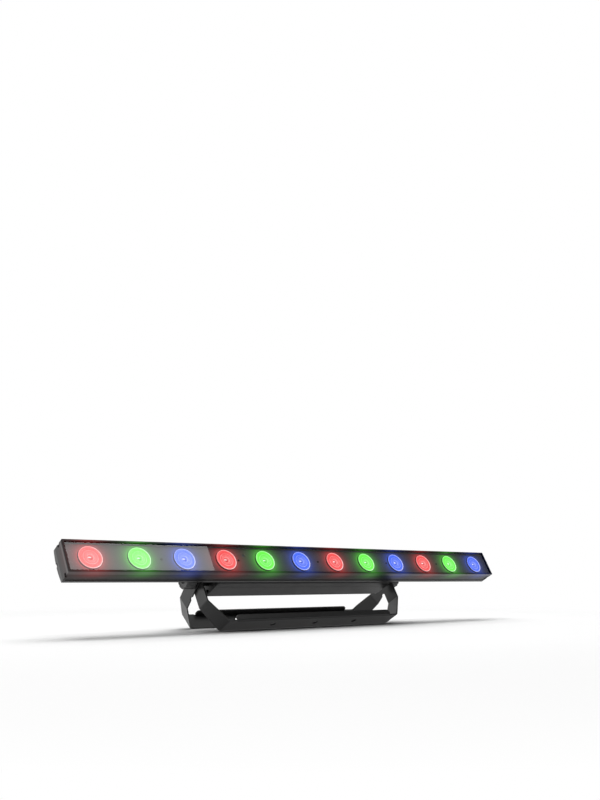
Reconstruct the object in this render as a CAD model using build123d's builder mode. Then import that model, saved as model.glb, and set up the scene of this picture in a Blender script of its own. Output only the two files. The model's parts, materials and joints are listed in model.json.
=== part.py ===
from build123d import *
from math import cos, radians, sin
import os

os.makedirs("parts", exist_ok=True)

# An LED strip batten: a long bar of lit lenses on a double floor bracket, with a box for the
# power supply and controls behind it.  Millimetres, +Z up, the beams leave towards -Y.
# The origin is on the floor, under the middle of the batten's footprint.

# ------------------------------------------------------------------ driving dimensions
BAR_LENGTH = 1000.0        # over the end caps
FACE_HEIGHT = 57.0         # height of the beam face
SIDE_DEPTH = 34.0          # beam face to the rear corners
BACK_BOW = 4.0             # how far the back bulges past those corners
BAR_CORNER = 0.8           # rounding of the bar's long edges
CAP_THICKNESS = 3.0
TILT = 30.0                # how far the beams point up at rest, degrees

LENS_COUNT = 12
LENS_PITCH = 83.2
LENS_RADIUS = 19.7

PIVOT_DEPTH = 72.0         # beam face to the tilt axis
PIVOT_DROP = 1.5           # tilt axis below the middle of the face
PIVOT_HEIGHT = 89.3        # tilt axis above the floor
FRONT_SPLAY = 30.5         # each bracket's lean from upright at rest, degrees
REAR_SPLAY = 40.0
SHEET = 2.5                # bracket steel

# Depths inside the bar, measured back from the beam face
LIP_HEIGHT = 3.4           # top and bottom lips that frame the window
WINDOW_DEPTH = 2.1
WINDOW_THICKNESS = 2.0
PLATE_DEPTH = 7.7
PLATE_THICKNESS = 1.4
GROOVE_REACH = 1.6         # how far the grooves go into the lips
SLIP = 0.1                 # gap round a piece that slides into place
BOARD_DEPTH = 25.4
BOARD_THICKNESS = 1.6
WEB_THICKNESS = 2.5
BACK_WALL = 2.4

# Round parts
PLATE_HOLE_RADIUS = 20.6
HOLDER_RADIUS = 20.4
HOLDER_WALL = 0.55
SCREW_CHANNEL_RADIUS = 1.25
STUD_RADIUS = 3.97
PIVOT_HOLE_RADIUS = 4.04
CLAMP_HOLE_RADIUS = 5.5
CLAMP_HOLE_PITCH = 100.0
CABLE_HOLE_RADIUS = 5.0
CAP_SEAT_DEPTH = 2.0       # the end cap screws' notches
CAP_SEAT_RADIUS = 2.9

# Double bracket
EAR_HALF = 15.0            # half the width of the ears
BASE_HALF = 18.25          # half the width of the base
EAR_HEAD_RADIUS = 16.5
FRONT_EAR_X = 235.0        # outer faces
REAR_EAR_X = 238.7
FRONT_CREASE = 49.5        # pivot to the bend under the ears
REAR_CREASE = 54.0
FRONT_BASE_X = 206.5
REAR_BASE_X = 214.0
FRONT_WIDENING = 8.0       # height over the base where the arms reach its width
REAR_WIDENING = 14.0
FLANGE_HALF = 187.7        # half-length of the stiffening flange
FLANGE_HEIGHT = 12.5
BEND_RADIUS = 5.0
FOLD_RADIUS = 4.0

# Housing behind the bar
HOUSING_HALF_LENGTH = 209.0
HOUSING_END = 4.0
HOUSING_REAR = 88.0        # beam face to the housing's rear face
HOUSING_HALF_HEIGHT = 26.0
HOUSING_WALL = 2.0
HOUSING_CORNER = 8.0
FOOT_GAP = 0.2             # bar's back to the feet of the housing's ends
FOOT_THICKNESS = 2.5
SPACER_RADIUS = 11.0
KNOB_RADIUS = 16.8
KNOB_OUTER_X = 261.0
WASHER_THICKNESS = 1.6

# Rear panel, places along X
INLET_X = 168.0
OUTLET_X = 108.0
FUSE_X = 66.0
MENU_X = -30.0
DMX_IN_X = -118.0
DMX_OUT_X = -160.0
BUTTON_PITCH = 18.0
BUTTON_DROP = -9.0
BUTTON_RADIUS = 3.6
PANEL_SEAT = HOUSING_REAR + 0.02       # where the sockets' flanges sit
FLANGE = 2.0                           # thickness of those flanges
MAINS_SCREW_REACH = 20.0               # middle of a mains socket to its screws
DATA_SCREW_REACH = (9.6, 12.0)         # the same for a data socket
LATCH_HEIGHT = 12.3                    # the data latch, above the middle of its socket
DISPLAY_HEIGHT = 7.0                   # the display, above the middle of the menu

# Boards inside the housing
CONTROL_DEPTH = 75.0
PSU_DEPTH = 44.0
PSU_X = (26.0, 192.0)

# Safety eye
SAFETY_EYE_DEPTH = 62.0
EYE_THICKNESS = 3.0
EYE_SCREW_PLACES = ((-10.0, 0.0), (10.0, 0.0))

# Screws: head radius, head height, shank radius, shank length
CAP_SCREW = (2.5, 1.2, 1.2, 11.0)
PLATE_SCREW = (1.9, 0.8, 1.0, 7.5)
BOARD_SCREW = (2.6, 1.8, 1.3, 6.0)
HOUSING_SCREW = (2.8, 1.8, 1.2, 12.0)
FOOT_SCREW = (3.0, 2.0, 1.6, 6.6)
CONNECTOR_SCREW = (2.5, 1.5, 1.2, 6.0)
EYE_SCREW = (3.2, 2.2, 1.6, 6.5)

# ------------------------------------------------------------------ frames and places
tilt = radians(TILT)
ACROSS = Vector(1, 0, 0)
BACK = Vector(0, cos(tilt), -sin(tilt))
UP = Vector(0, sin(tilt), cos(tilt))

half_face = FACE_HEIGHT / 2
lip_inner = half_face - LIP_HEIGHT
groove_half = lip_inner + GROOVE_REACH
extrusion_length = BAR_LENGTH - 2 * CAP_THICKNESS
web_front = BOARD_DEPTH + BOARD_THICKNESS
web_back = web_front + WEB_THICKNESS
back_depth = SIDE_DEPTH + BACK_BOW
strip_half_length = extrusion_length / 2 - 0.4
lens_places = [(i - (LENS_COUNT - 1) / 2) * LENS_PITCH for i in range(LENS_COUNT)]
board_screw_places = [(k * LENS_PITCH, 0) for k in (-5, -3, -1, 1, 3, 5)]
plate_screw_places = [(x, 0) for x in (-334.0, -182.0, 0.0, 182.0, 334.0)]
cap_screw_places = ((15.0, 25.3), (34.9, 2.7), (15.0, -25.3))
cap_mouth_places = ((15.0, 25.3 + CAP_SEAT_RADIUS), (34.9 + CAP_SEAT_RADIUS, 2.7),
                    (15.0, -25.3 - CAP_SEAT_RADIUS))
housing_screw_places = ((45.0, 21.0), (80.5, 20.0), (80.5, -20.0), (45.0, -21.0))
housing_outer_x = HOUSING_HALF_LENGTH + HOUSING_END
foot_screw_places = ((202.0, 9.0), (202.0, -9.0), (-202.0, 9.0), (-202.0, -9.0))
ir_place = (-168.0, 10.5)
cable_hole = (0.0, 12.0)


def base_radius(splay):
    """Pivot to the outside of a bracket's base, so that its lower edge meets the floor."""
    lean = radians(splay)
    return (PIVOT_HEIGHT - BASE_HALF * sin(lean)) / cos(lean)


rear_lean = radians(REAR_SPLAY)
front_reach = PIVOT_DEPTH * cos(tilt) + (half_face - PIVOT_DROP) * sin(tilt)
rear_reach = base_radius(REAR_SPLAY) * sin(rear_lean) + BASE_HALF * cos(rear_lean)
PIVOT = Vector(0, (front_reach - rear_reach) / 2, PIVOT_HEIGHT)
FACE_CENTRE = PIVOT - BACK * PIVOT_DEPTH + UP * PIVOT_DROP


def head_point(x, depth, height):
    """A point of the tilted head, from the middle of its beam face."""
    return FACE_CENTRE + ACROSS * x + BACK * depth + UP * height


def section_plane(x):
    """Across the bar: local x is depth, local y is height, the normal is +X."""
    return Plane(origin=head_point(x, 0, 0), x_dir=BACK, z_dir=ACROSS)


def front_plane(depth):
    """Facing the beams: local x is +X, local y is height."""
    return Plane(origin=head_point(0, depth, 0), x_dir=ACROSS, z_dir=-BACK)


def rear_plane(depth):
    """Facing the back: local x is -X, local y is height."""
    return Plane(origin=head_point(0, depth, 0), x_dir=-ACROSS, z_dir=BACK)


def lens_plane(x):
    """Through a lens axis: local x is the radius, local y is depth."""
    return Plane(origin=head_point(x, 0, 0), x_dir=ACROSS, z_dir=UP)


def pivot_plane(x):
    """Across the tilt axis: local x is +Y, local y is +Z, the normal is +X."""
    return Plane(origin=PIVOT + ACROSS * x, x_dir=(0, 1, 0), z_dir=(1, 0, 0))


def save(builder, name):
    """Label a finished piece and write it out."""
    builder.part.label = name
    export_step(builder.part, f"parts/{name}.step")


# ------------------------------------------------------------------ shared shapes
def bar_face(x):
    """The bar's filled outline."""
    with BuildSketch(section_plane(x)) as outline:
        with BuildLine():
            Polyline(
                (SIDE_DEPTH, -half_face), (0, -half_face), (0, half_face), (SIDE_DEPTH, half_face)
            )
            ThreePointArc((SIDE_DEPTH, half_face), (back_depth, 0), (SIDE_DEPTH, -half_face))
        make_face()
        fillet(outline.vertices(), radius=BAR_CORNER)
    return outline.sketch


def slab_face(x, near, far, low, high):
    """A rectangle across the bar, from one depth to another and one height to another."""
    with BuildSketch(section_plane(x)) as slab:
        with Locations(((near + far) / 2, (low + high) / 2)):
            Rectangle(far - near, high - low)
    return slab.sketch


def discs(plane, places, radius):
    """Circles of one radius at several places of a plane."""
    with BuildSketch(plane) as group:
        with Locations(*places):
            Circle(radius)
    return group.sketch


def rounded(plane, place, width, height, corner):
    """A rounded rectangle at one place of a plane."""
    with BuildSketch(plane) as outline:
        with Locations(place):
            RectangleRounded(width, height, corner)
    return outline.sketch


def boxes(plane, places, width, height):
    """Rectangles of one size at several places of a plane."""
    with BuildSketch(plane) as group:
        with Locations(*places):
            Rectangle(width, height)
    return group.sketch


def screws(name, seats, size):
    """Pan-head screws with a hexagon socket, one at each seat plane."""
    head_radius, head_height, shank_radius, shank_length = size
    with BuildPart() as group:
        for seat in seats:
            with BuildSketch(seat):
                Circle(head_radius)
            extrude(amount=head_height)
            with BuildSketch(seat):
                Circle(shank_radius)
            extrude(amount=-shank_length)
            with BuildSketch(seat.offset(head_height)):
                RegularPolygon(head_radius * 0.5, 6)
            extrude(amount=-head_height * 0.6, mode=Mode.SUBTRACT)
    save(group, name)


def seats_on(plane, places):
    """Seat planes for screws at several places of one plane."""
    return [Plane(origin=plane.from_local_coords((x, y, 0)), x_dir=plane.x_dir,
                  z_dir=plane.z_dir) for x, y in places]


def side_seats(x, side, places):
    """Seat planes on an end face, for screws driven towards the middle."""
    return [Plane(origin=head_point(side * x, depth, height), x_dir=BACK, z_dir=ACROSS * side)
            for depth, height in places]


# ------------------------------------------------------------------ bar
def bar_extrusion():
    """The painted extrusion, with a front chamber for the optics and a web behind it."""
    start = -extrusion_length / 2
    chamber_half = 24.8
    chamber_side_depth = 33.2
    band_near, band_far, band_sink = 9.0, 28.0, 0.9
    channel_radius = 2.2
    pockets = (
        (-1.0, web_front, lip_inner),
        (WINDOW_DEPTH - SLIP, WINDOW_DEPTH + WINDOW_THICKNESS + SLIP, groove_half),
        (PLATE_DEPTH - SLIP, PLATE_DEPTH + PLATE_THICKNESS + SLIP, groove_half),
    )
    with BuildPart() as bar:
        extrude(bar_face(start), amount=extrusion_length)
        with BuildSketch(section_plane(start)):
            for near, far, reach in pockets:
                with Locations(((near + far) / 2, 0)):
                    Rectangle(far - near, 2 * reach)
        extrude(amount=extrusion_length, mode=Mode.SUBTRACT)
        with BuildSketch(section_plane(start)):
            with BuildLine():
                Polyline(
                    (chamber_side_depth, -chamber_half), (web_back, -chamber_half),
                    (web_back, chamber_half), (chamber_side_depth, chamber_half)
                )
                ThreePointArc(
                    (chamber_side_depth, chamber_half), (back_depth - BACK_WALL, 0),
                    (chamber_side_depth, -chamber_half)
                )
            make_face()
        extrude(amount=extrusion_length, mode=Mode.SUBTRACT)
        # Sunk bands along the top and bottom faces
        band_middles = [((band_near + band_far) / 2, side * half_face) for side in (-1, 1)]
        extrude(boxes(section_plane(start), band_middles, band_far - band_near, 2 * band_sink),
                amount=extrusion_length, mode=Mode.SUBTRACT)
        # Channels for the end cap screws
        extrude(discs(section_plane(start), cap_screw_places, channel_radius),
                amount=extrusion_length)
        extrude(discs(section_plane(start), cap_screw_places, SCREW_CHANNEL_RADIUS),
                amount=extrusion_length, mode=Mode.SUBTRACT)
        # Tapped holes in the web, cable hole, and tapped holes in the back
        extrude(discs(front_plane(web_front), board_screw_places + plate_screw_places, 1.4),
                amount=-WEB_THICKNESS - 1, mode=Mode.SUBTRACT)
        extrude(discs(front_plane(web_front), [cable_hole], CABLE_HOLE_RADIUS),
                amount=-WEB_THICKNESS - 12, mode=Mode.SUBTRACT)
        extrude(discs(rear_plane(back_depth), foot_screw_places, 1.65),
                amount=-4.5, mode=Mode.SUBTRACT)
    save(bar, "bar_extrusion")


def end_cap(name, side):
    """A flat end plate with three screw seats, each open to the nearest edge."""
    outer_x = side * BAR_LENGTH / 2
    with BuildPart() as cap:
        extrude(bar_face(outer_x), amount=-side * CAP_THICKNESS)
        outer_face = cap.faces().sort_by(Axis.X)[-1 if side > 0 else 0]
        chamfer(outer_face.edges(), length=0.4)
        extrude(discs(section_plane(outer_x), cap_screw_places, 1.5),
                amount=-side * CAP_THICKNESS, mode=Mode.SUBTRACT)
        extrude(discs(section_plane(outer_x), cap_screw_places, CAP_SEAT_RADIUS),
                amount=-side * CAP_SEAT_DEPTH, mode=Mode.SUBTRACT)
        extrude(boxes(section_plane(outer_x), cap_mouth_places, 2 * CAP_SEAT_RADIUS, 2 * CAP_SEAT_RADIUS),
                amount=-side * CAP_SEAT_DEPTH, mode=Mode.SUBTRACT)
    save(cap, name)


def end_cap_screws():
    """Three screws in each end cap, sunk in its notches."""
    seat_x = BAR_LENGTH / 2 - CAP_SEAT_DEPTH
    seats = side_seats(seat_x, -1, cap_screw_places) + side_seats(seat_x, 1, cap_screw_places)
    screws("end_cap_screws", seats, CAP_SCREW)


def window():
    """Clear sheet that slides into the front grooves."""
    with BuildPart() as pane:
        extrude(
            slab_face(-strip_half_length, WINDOW_DEPTH, WINDOW_DEPTH + WINDOW_THICKNESS,
                      SLIP - groove_half, groove_half - SLIP),
            amount=2 * strip_half_length
        )
    save(pane, "window")


def window_seals():
    """Rubber strips between the window and the lens plate, along both lips."""
    near = WINDOW_DEPTH + WINDOW_THICKNESS + 2 * SLIP
    far = PLATE_DEPTH - 2 * SLIP
    outer = lip_inner - SLIP
    inner = lip_inner - 1.2
    with BuildPart() as seals:
        for low, high in ((inner, outer), (-outer, -inner)):
            extrude(slab_face(-strip_half_length, near, far, low, high), amount=2 * strip_half_length)
    save(seals, "window_seals")


def lens_plate():
    """Black plate with a round hole for each lens, a receiver hole and screw holes."""
    with BuildPart() as plate:
        extrude(
            slab_face(-strip_half_length, PLATE_DEPTH, PLATE_DEPTH + PLATE_THICKNESS,
                      SLIP - groove_half, groove_half - SLIP),
            amount=2 * strip_half_length
        )
        holes = front_plane(PLATE_DEPTH)
        extrude(discs(holes, [(x, 0) for x in lens_places], PLATE_HOLE_RADIUS),
                amount=-PLATE_THICKNESS, mode=Mode.SUBTRACT)
        extrude(discs(holes, [ir_place], 3.0), amount=-PLATE_THICKNESS, mode=Mode.SUBTRACT)
        extrude(discs(holes, plate_screw_places, 1.1), amount=-PLATE_THICKNESS, mode=Mode.SUBTRACT)
    save(plate, "lens_plate")


def plate_standoffs():
    """Hexagon pillars that hold the lens plate off the web."""
    pillar_near = PLATE_DEPTH + PLATE_THICKNESS + 0.02
    pillar_far = BOARD_DEPTH - 0.02
    with BuildPart() as pillars:
        with BuildSketch(front_plane(pillar_far)):
            with Locations(*plate_screw_places):
                RegularPolygon(2.9, 6)
        extrude(amount=pillar_far - pillar_near)
        extrude(discs(front_plane(pillar_far), plate_screw_places, 1.3), amount=-4.0)
        extrude(discs(front_plane(pillar_near), plate_screw_places, 1.05),
                amount=-8.0, mode=Mode.SUBTRACT)
    save(pillars, "plate_standoffs")


def lenses(name, places):
    """Moulded collimator lenses: a rimmed front with a centre well, and a cone behind."""
    rim_front, rim_back = 4.6, 8.8
    with BuildPart() as group:
        for x in places:
            with BuildSketch(lens_plane(x)):
                with BuildLine():
                    # Well wall, stepped front face and rim
                    Polyline(
                        (4.2, 9.0), (5.0, 9.0), (5.2, 5.2), (12.4, 4.9), (12.8, 5.2), (18.0, 5.2),
                        (18.4, rim_front), (LENS_RADIUS, rim_front), (LENS_RADIUS, rim_back),
                        (17.4, rim_back)
                    )
                    # Reflecting cone, light inlet and the two domes on the axis
                    ThreePointArc((17.4, rim_back), (13.0, 16.6), (6.6, 22.6))
                    Polyline((6.6, 22.6), (4.2, 22.6), (3.8, 17.4))
                    TangentArc((0.0, 16.2), (3.8, 17.4), tangent=(1, 0))
                    Line((0.0, 16.2), (0.0, 7.4))
                    TangentArc((0.0, 7.4), (4.2, 9.0), tangent=(1, 0))
                make_face()
            revolve(axis=Axis(head_point(x, 0, 0), BACK))
    save(group, name)


def lens_holders():
    """Black cups that carry the lenses over the board."""
    bore = HOLDER_RADIUS - HOLDER_WALL
    outline = (
        (bore, 5.4), (HOLDER_RADIUS, 5.4), (HOLDER_RADIUS, 10.4), (19.2, 10.4), (19.2, 24.0),
        (17.0, BOARD_DEPTH - 0.05), (15.4, BOARD_DEPTH - 0.05), (18.0, 23.4), (18.0, 8.95),
        (bore, 8.95),
    )
    with BuildPart() as group:
        for x in lens_places:
            with BuildSketch(lens_plane(x)):
                with BuildLine():
                    Polyline(*outline, close=True)
                make_face()
            revolve(axis=Axis(head_point(x, 0, 0), BACK))
    save(group, "lens_holders")


def led_boards():
    """Two metal-core boards end to end, screwed to the web."""
    inner_x = 7.0
    outer_x = strip_half_length - 8.0
    with BuildPart() as boards:
        for start in (-outer_x, inner_x):
            extrude(slab_face(start, BOARD_DEPTH, web_front - 0.02, -20.6, 20.6),
                    amount=outer_x - inner_x)
        holes = [place for place in plate_screw_places if place[0] != 0]
        extrude(discs(front_plane(BOARD_DEPTH), board_screw_places + holes, 1.5),
                amount=-BOARD_THICKNESS, mode=Mode.SUBTRACT)
    save(boards, "led_boards")


def led_emitters():
    """One square package with a round dome under each lens."""
    package = 5.0
    with BuildPart() as emitters:
        with BuildSketch(front_plane(BOARD_DEPTH - 0.02)):
            with Locations(*[(x, 0) for x in lens_places]):
                Rectangle(package, package)
        extrude(amount=1.0)
        with BuildSketch(front_plane(BOARD_DEPTH - 1.0)):
            with Locations(*[(x, 0) for x in lens_places]):
                Circle(1.9)
        extrude(amount=1.2, taper=20)
    save(emitters, "led_emitters")


def ir_receiver():
    """Small receiver block with a round eye behind its hole in the plate."""
    depth = PLATE_DEPTH + PLATE_THICKNESS + 0.1
    with BuildPart() as receiver:
        with BuildSketch(front_plane(depth)):
            with Locations(ir_place):
                RectangleRounded(9.0, 8.0, 1.0)
        extrude(amount=-5.0)
        extrude(discs(front_plane(depth), [ir_place], 2.5), amount=1.0)
    save(receiver, "ir_receiver")


def cable_grommet():
    """Rubber ring in the cable hole in the bar's back."""
    seat = back_depth + 0.1
    with BuildPart() as grommet:
        place = [(-cable_hole[0], cable_hole[1])]
        extrude(discs(rear_plane(seat), place, 6.6), amount=1.5)
        extrude(discs(rear_plane(seat), place, CABLE_HOLE_RADIUS - 0.1), amount=-3.4)
        extrude(discs(rear_plane(seat + 1.5), place, 3.4), amount=-5.0, mode=Mode.SUBTRACT)
    save(grommet, "cable_grommet")


# ------------------------------------------------------------------ housing
def housing_face(x, inset, front):
    """The housing's rounded outline, drawn in by an inset; front is where its mouth is."""
    half = HOUSING_HALF_HEIGHT - inset
    with BuildSketch(section_plane(x)) as outline:
        with Locations(((front + HOUSING_REAR - inset) / 2, 0)):
            Rectangle(HOUSING_REAR - inset - front, 2 * half)
        rear_corners = outline.vertices().sort_by_distance(head_point(x, 2 * HOUSING_REAR, 0))[:2]
        fillet(rear_corners, radius=HOUSING_CORNER - inset)
    return outline.sketch


def rear_housing():
    """Extruded cover behind the bar, open towards it, with the rear panel's cut-outs."""
    length = 2 * HOUSING_HALF_LENGTH
    start = -HOUSING_HALF_LENGTH
    mouth = 35.4
    panel = rear_plane(HOUSING_REAR)
    through = -HOUSING_WALL - 2
    with BuildPart() as shell:
        extrude(housing_face(start, 0, mouth), amount=length)
        extrude(housing_face(start, HOUSING_WALL, mouth - 1), amount=length, mode=Mode.SUBTRACT)
        # Screw channels for the housing's ends
        channels = [(depth, height + (1 if height > 0 else -1)) for depth, height in housing_screw_places]
        extrude(boxes(section_plane(start), channels, 6.0, 6.4), amount=length)
        extrude(discs(section_plane(start), housing_screw_places, SCREW_CHANNEL_RADIUS),
                amount=length, mode=Mode.SUBTRACT)
        # Rear panel openings
        for opening in (
            rounded(panel, (-INLET_X, 0), 28.0, 20.0, 3.0),
            rounded(panel, (-OUTLET_X, 0), 28.0, 20.0, 3.0),
            rounded(panel, (-MENU_X, 0), 76.0, 29.0, 2.0),
            discs(panel, [(-FUSE_X, 0)], 6.6),
            discs(panel, [(-DMX_IN_X, 0), (-DMX_OUT_X, 0)], 11.2),
            boxes(panel, [(-DMX_OUT_X, LATCH_HEIGHT)], 7.0, 4.2),
        ):
            extrude(opening, amount=through, mode=Mode.SUBTRACT)
        extrude(discs(panel, connector_screw_places(), 1.25), amount=through, mode=Mode.SUBTRACT)
        eye_holes = Plane(origin=head_point(0, SAFETY_EYE_DEPTH, HOUSING_HALF_HEIGHT),
                          x_dir=ACROSS, z_dir=UP)
        extrude(discs(eye_holes, EYE_SCREW_PLACES, 1.65), amount=through, mode=Mode.SUBTRACT)
    save(shell, "rear_housing")


def mains_screw_places(x):
    """The two screws of the mains socket at x, on the rear plane."""
    return [(-x + side * MAINS_SCREW_REACH, 0) for side in (-1, 1)]


def data_screw_places(x):
    """The two screws of the data socket at x, on the rear plane."""
    return [(-x + side * DATA_SCREW_REACH[0], side * DATA_SCREW_REACH[1]) for side in (-1, 1)]


def connector_screw_places():
    """Screws of the mains and data sockets, on the rear plane."""
    mains = [place for x in (INLET_X, OUTLET_X) for place in mains_screw_places(x)]
    data = [place for x in (DMX_IN_X, DMX_OUT_X) for place in data_screw_places(x)]
    return mains + data


def housing_end(name, side):
    """End plate with rounded edges, a foot on the bar's back, and a bore for the pivot."""
    outer_x = side * housing_outer_x
    inner_x = side * HOUSING_HALF_LENGTH
    foot_inner = side * 195.0
    foot_near = back_depth + FOOT_GAP
    with BuildPart() as end:
        extrude(housing_face(outer_x, 0, foot_near), amount=-side * (HOUSING_END - 0.05))
        rim = end.faces().sort_by(Axis.X)[-1 if side > 0 else 0]
        fillet(rim.edges(), radius=2.0)
        extrude(slab_face(foot_inner, foot_near, foot_near + FOOT_THICKNESS, -16.0, 16.0),
                amount=inner_x - foot_inner + side * 0.1)
        extrude(discs(section_plane(outer_x), housing_screw_places, 1.5),
                amount=-side * HOUSING_END, mode=Mode.SUBTRACT)
        with BuildSketch(pivot_plane(outer_x)):
            Circle(PIVOT_HOLE_RADIUS)
        extrude(amount=-side * HOUSING_END, mode=Mode.SUBTRACT)
        extrude(discs(rear_plane(foot_near + FOOT_THICKNESS), foot_screw_places, 1.8),
                amount=-FOOT_THICKNESS, mode=Mode.SUBTRACT)
    save(end, name)


def pivot_spacers():
    """Tubes that hold the brackets clear of the housing's ends."""
    near = housing_outer_x + 0.02
    far = FRONT_EAR_X - SHEET - 0.15       # leaves a gap to the ear
    with BuildPart() as spacers:
        for side in (-1, 1):
            with BuildSketch(pivot_plane(side * near)):
                Circle(SPACER_RADIUS)
                Circle(PIVOT_HOLE_RADIUS, mode=Mode.SUBTRACT)
            extrude(amount=side * (far - near))
    save(spacers, "pivot_spacers")


def pivot_nuts():
    """Hexagon nuts inside the housing's ends that take the knob studs."""
    with BuildPart() as nuts:
        for side in (-1, 1):
            with BuildSketch(pivot_plane(side * (HOUSING_HALF_LENGTH - 0.05))):
                RegularPolygon(6.5, 6, major_radius=False)
                Circle(PIVOT_HOLE_RADIUS, mode=Mode.SUBTRACT)
            extrude(amount=-side * 8.0)
    save(nuts, "pivot_nuts")


def knob(name, side):
    """Round clamping knob with shallow grip flutes and a hollow in its outer face."""
    inner_x = REAR_EAR_X + WASHER_THICKNESS + 0.2
    length = KNOB_OUTER_X - inner_x
    with BuildPart() as grip:
        with BuildSketch(pivot_plane(side * inner_x)):
            Circle(KNOB_RADIUS)
            with PolarLocations(KNOB_RADIUS + 2.6, 16):
                Circle(3.4, mode=Mode.SUBTRACT)
        extrude(amount=side * length)
        rims = grip.edges().group_by(Axis.X)[-1 if side > 0 else 0]
        chamfer(rims, length=0.9)
        with BuildSketch(pivot_plane(side * KNOB_OUTER_X)):
            Circle(6.5)
        extrude(amount=-side * 5.0, mode=Mode.SUBTRACT)
        with BuildSketch(pivot_plane(side * inner_x)):
            Circle(STUD_RADIUS + 0.03)
        extrude(amount=side * length, mode=Mode.SUBTRACT)
    save(grip, name)


def knob_stud(name, side):
    """Threaded stud fixed in a knob, with a hexagon socket in its outer end."""
    tip_x = 200.0
    end_x = KNOB_OUTER_X - 2.5
    with BuildPart() as stud:
        with BuildSketch(pivot_plane(side * tip_x)):
            Circle(STUD_RADIUS)
        extrude(amount=side * (end_x - tip_x))
        tip = stud.edges().group_by(Axis.X)[0 if side > 0 else -1]
        chamfer(tip, length=0.8)
        with BuildSketch(pivot_plane(side * end_x)):
            RegularPolygon(2.3, 6)
        extrude(amount=-side * 4.0, mode=Mode.SUBTRACT)
    save(stud, name)


def washers(name, near, thickness, radius):
    """A flat washer on each side of the batten, on the tilt axis."""
    with BuildPart() as pair:
        for side in (-1, 1):
            with BuildSketch(pivot_plane(side * near)):
                Circle(radius)
                Circle(PIVOT_HOLE_RADIUS, mode=Mode.SUBTRACT)
            extrude(amount=side * thickness)
    save(pair, name)


# ------------------------------------------------------------------ brackets
def bracket(name, side, splay, ear_x, crease, base_x, widening, notched):
    """One U-shaped bracket bent from strip; side is 1 for the front one, -1 for the rear."""
    lean = radians(splay)
    radius = base_radius(splay)
    along = ACROSS * side
    outward = Vector(0, -side * sin(lean), -cos(lean))      # pivot to base
    raised = Vector(0, -side * cos(lean), sin(lean))        # across the strip, to its high edge
    strip = Plane(origin=PIVOT, x_dir=along, z_dir=raised)
    edge_on = Plane(origin=PIVOT, x_dir=raised, z_dir=-along)
    base = Plane(origin=PIVOT + outward * radius, x_dir=along, z_dir=outward)
    head = EAR_HEAD_RADIUS + 1
    notch_radius, notch_reach = 4.2, 31.0
    relief = 1.4                    # round cut-outs at the ends of the fold
    reliefs = [(x * (FLANGE_HALF + relief / 2), BASE_HALF) for x in (-1, 1)]
    with BuildPart() as yoke:
        with BuildSketch(strip):
            with BuildLine():
                FilletPolyline(
                    (-ear_x, head), (-ear_x, -crease), (-base_x, -radius), (base_x, -radius),
                    (ear_x, -crease), (ear_x, head), radius=BEND_RADIUS
                )
                offset(amount=SHEET, side=Side.LEFT)
            make_face()
        extrude(amount=BASE_HALF, both=True)
        with BuildSketch(edge_on):
            Circle(EAR_HEAD_RADIUS)
            with BuildLine():
                Polyline(
                    (-EAR_HALF, 0), (-EAR_HALF, -crease), (-BASE_HALF, widening - radius),
                    (-BASE_HALF, -radius - 1), (BASE_HALF, -radius - 1),
                    (BASE_HALF, widening - radius), (EAR_HALF, -crease), (EAR_HALF, 0), close=True
                )
            make_face()
            if notched:
                with Locations((-EAR_HALF - 1.2, -notch_reach)):
                    Circle(notch_radius, mode=Mode.SUBTRACT)
        extrude(amount=ear_x + 1, both=True, mode=Mode.INTERSECT)
        # Stiffening flange along the raised edge, with rounded top corners
        with BuildSketch(strip.offset(BASE_HALF - SHEET)) as flange:
            with Locations((0, FLANGE_HEIGHT / 2 - radius)):
                Rectangle(2 * FLANGE_HALF, FLANGE_HEIGHT)
            fillet(flange.vertices().sort_by_distance(PIVOT)[:2], radius=7.0)
        extrude(amount=SHEET)
        # Round the fold between the base and the flange
        with BuildSketch(edge_on):
            with Locations((BASE_HALF - FOLD_RADIUS / 2, FOLD_RADIUS / 2 - radius)):
                Rectangle(FOLD_RADIUS, FOLD_RADIUS)
            with Locations((BASE_HALF - FOLD_RADIUS, FOLD_RADIUS - radius)):
                Circle(FOLD_RADIUS, mode=Mode.SUBTRACT)
        extrude(amount=FLANGE_HALF, both=True, mode=Mode.SUBTRACT)
        extrude(discs(base, reliefs, relief), amount=-SHEET - 1, mode=Mode.SUBTRACT)
        with BuildSketch(base):
            with GridLocations(CLAMP_HOLE_PITCH, 1, 3, 1):
                Circle(CLAMP_HOLE_RADIUS)
        extrude(amount=-SHEET - 1, mode=Mode.SUBTRACT)
        with BuildSketch(edge_on):
            Circle(PIVOT_HOLE_RADIUS)
        extrude(amount=ear_x + 1, both=True, mode=Mode.SUBTRACT)
    save(yoke, name)


# ------------------------------------------------------------------ rear panel
def mains_body(x, opening):
    """Flange and body of the mains socket at x, with its screw holes and a hollow."""
    seat = rear_plane(PANEL_SEAT)
    face = rear_plane(PANEL_SEAT + FLANGE)
    extrude(rounded(seat, (-x, 0), 50.0, 24.0, 4.0), amount=FLANGE)
    extrude(rounded(seat, (-x, 0), 27.6, 19.6, 3.0), amount=-20.0)
    extrude(rounded(face, (-x, 0), *opening), amount=-19.0, mode=Mode.SUBTRACT)
    extrude(discs(face, mains_screw_places(x), 1.6), amount=-FLANGE, mode=Mode.SUBTRACT)


def mains_pin_places(x):
    """Line, neutral and earth of the mains socket at x."""
    return [(-x, 3.4), (-x - 7.0, -2.2), (-x + 7.0, -2.2)]


def mains_inlet():
    """Shrouded mains inlet and its three flat blades."""
    with BuildPart() as inlet:
        mains_body(INLET_X, (24.6, 16.8, 3.2))
    save(inlet, "mains_inlet")
    with BuildPart() as blades:
        floor = rear_plane(PANEL_SEAT + FLANGE - 18.92)
        extrude(boxes(floor, mains_pin_places(INLET_X), 2.0, 4.0), amount=15.0)
    save(blades, "inlet_pins")


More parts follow.
